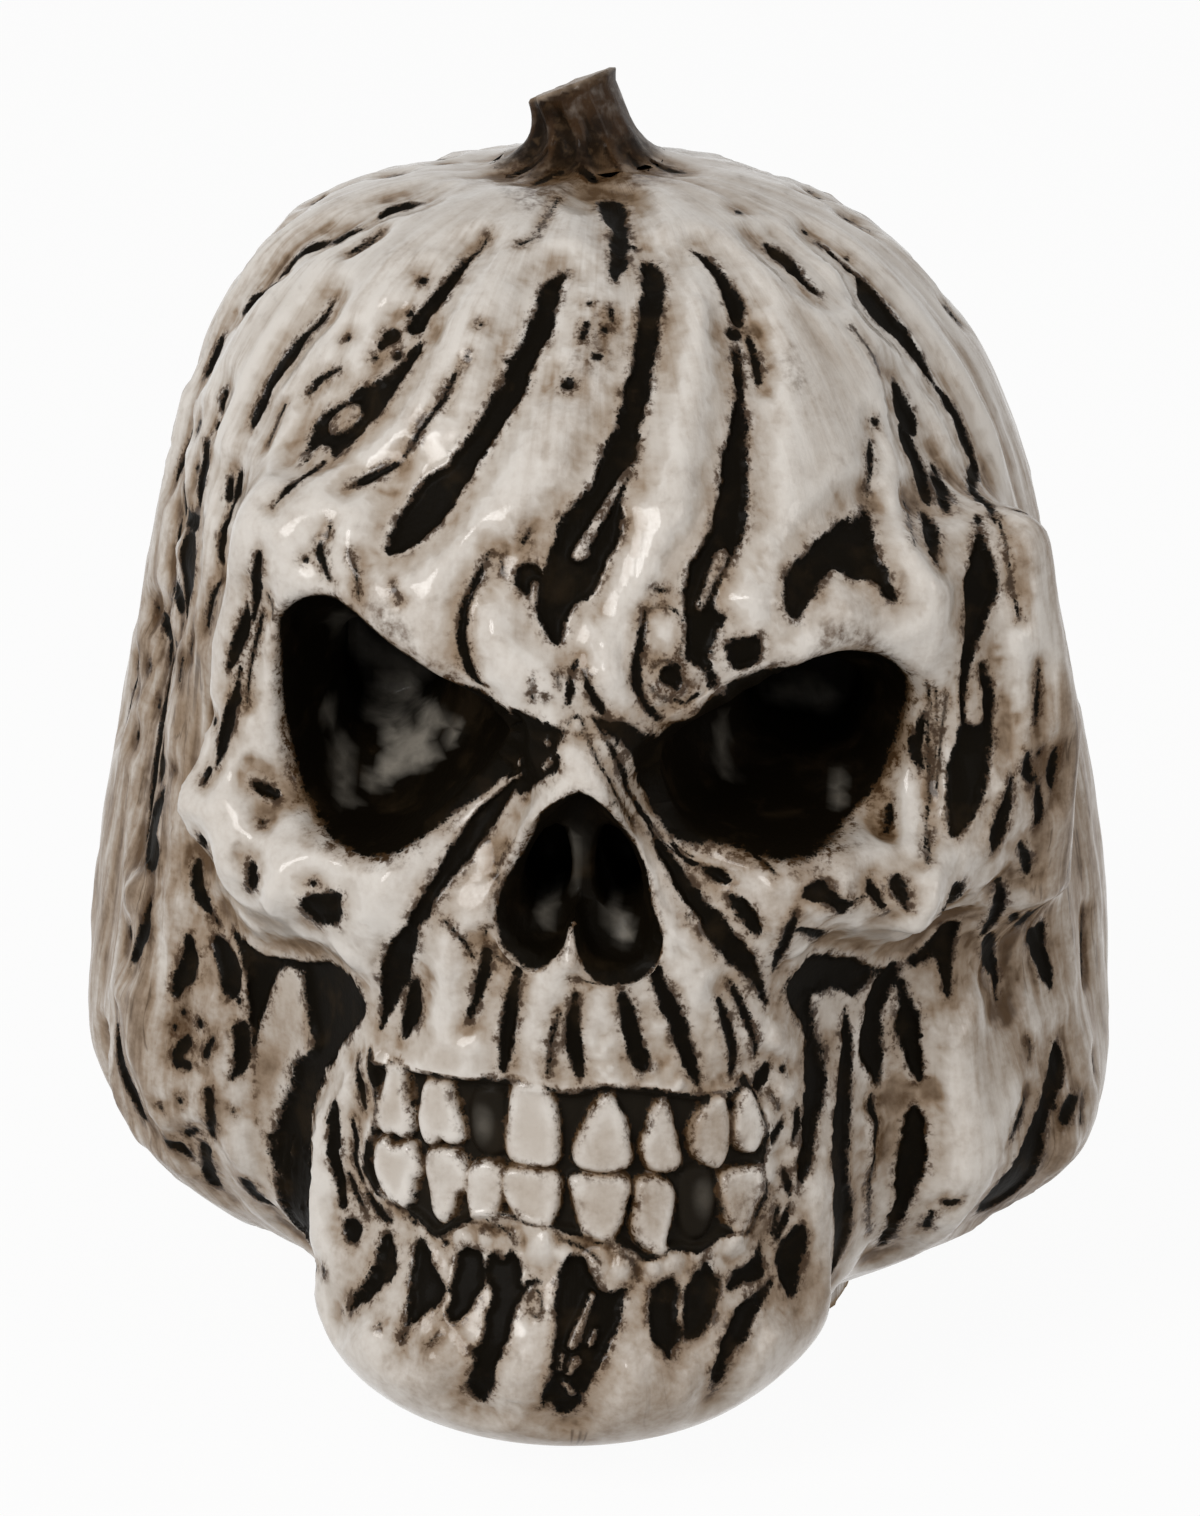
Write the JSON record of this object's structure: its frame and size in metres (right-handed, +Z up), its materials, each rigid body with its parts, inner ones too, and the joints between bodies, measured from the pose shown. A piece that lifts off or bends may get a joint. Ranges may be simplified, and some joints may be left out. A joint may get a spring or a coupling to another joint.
{
  "type": "skull candle holder",
  "caption": "Glazed stoneware skull in the shape of a pumpkin that stands over a dish with a tealight; light shows through its eyes and nose.",
  "frame": {"origin": "on the table, under the middle of the outer size", "axes": "+Z up, the face looks along -Y, +X to the viewer's right"},
  "size_m": [0.1522, 0.1566, 0.1852],
  "materials": {
    "bone_glaze": "ivory glaze, glossy, with black stain in every groove",
    "stalk_glaze": "brown wash under a satin glaze",
    "black_glaze": "glossy black",
    "thin_aluminium": "pressed thin sheet",
    "wax": "white paraffin",
    "tinned_steel": "thin stamped sheet",
    "cotton": "waxed cotton cord",
    "felt": "pressed felt"
  },
  "bodies": {
    "dish": {"candle_dish": "black_glaze", "dish_pad_1": "felt", "dish_pad_2": "felt", "dish_pad_3": "felt"},
    "shell": {"skull_shell": "bone_glaze", "stem": "stalk_glaze", "shell_pad_1": "felt", "shell_pad_2": "felt", "shell_pad_3": "felt", "shell_pad_4": "felt"},
    "tealight": {"tealight_cup": "thin_aluminium", "tealight_wax": "wax", "wick_tab": "tinned_steel", "tealight_wick": "cotton"}
  },
  "joints": [
    {"name": "shell_lift", "type": "slide", "parent": "dish", "child": "shell", "axis": [0, 0, 1], "range_m": [0, 0.2]},
    {"name": "tealight_lift", "type": "slide", "parent": "dish", "child": "tealight", "axis": [0, 0, 1], "range_m": [0, 0.03]}
  ]
}
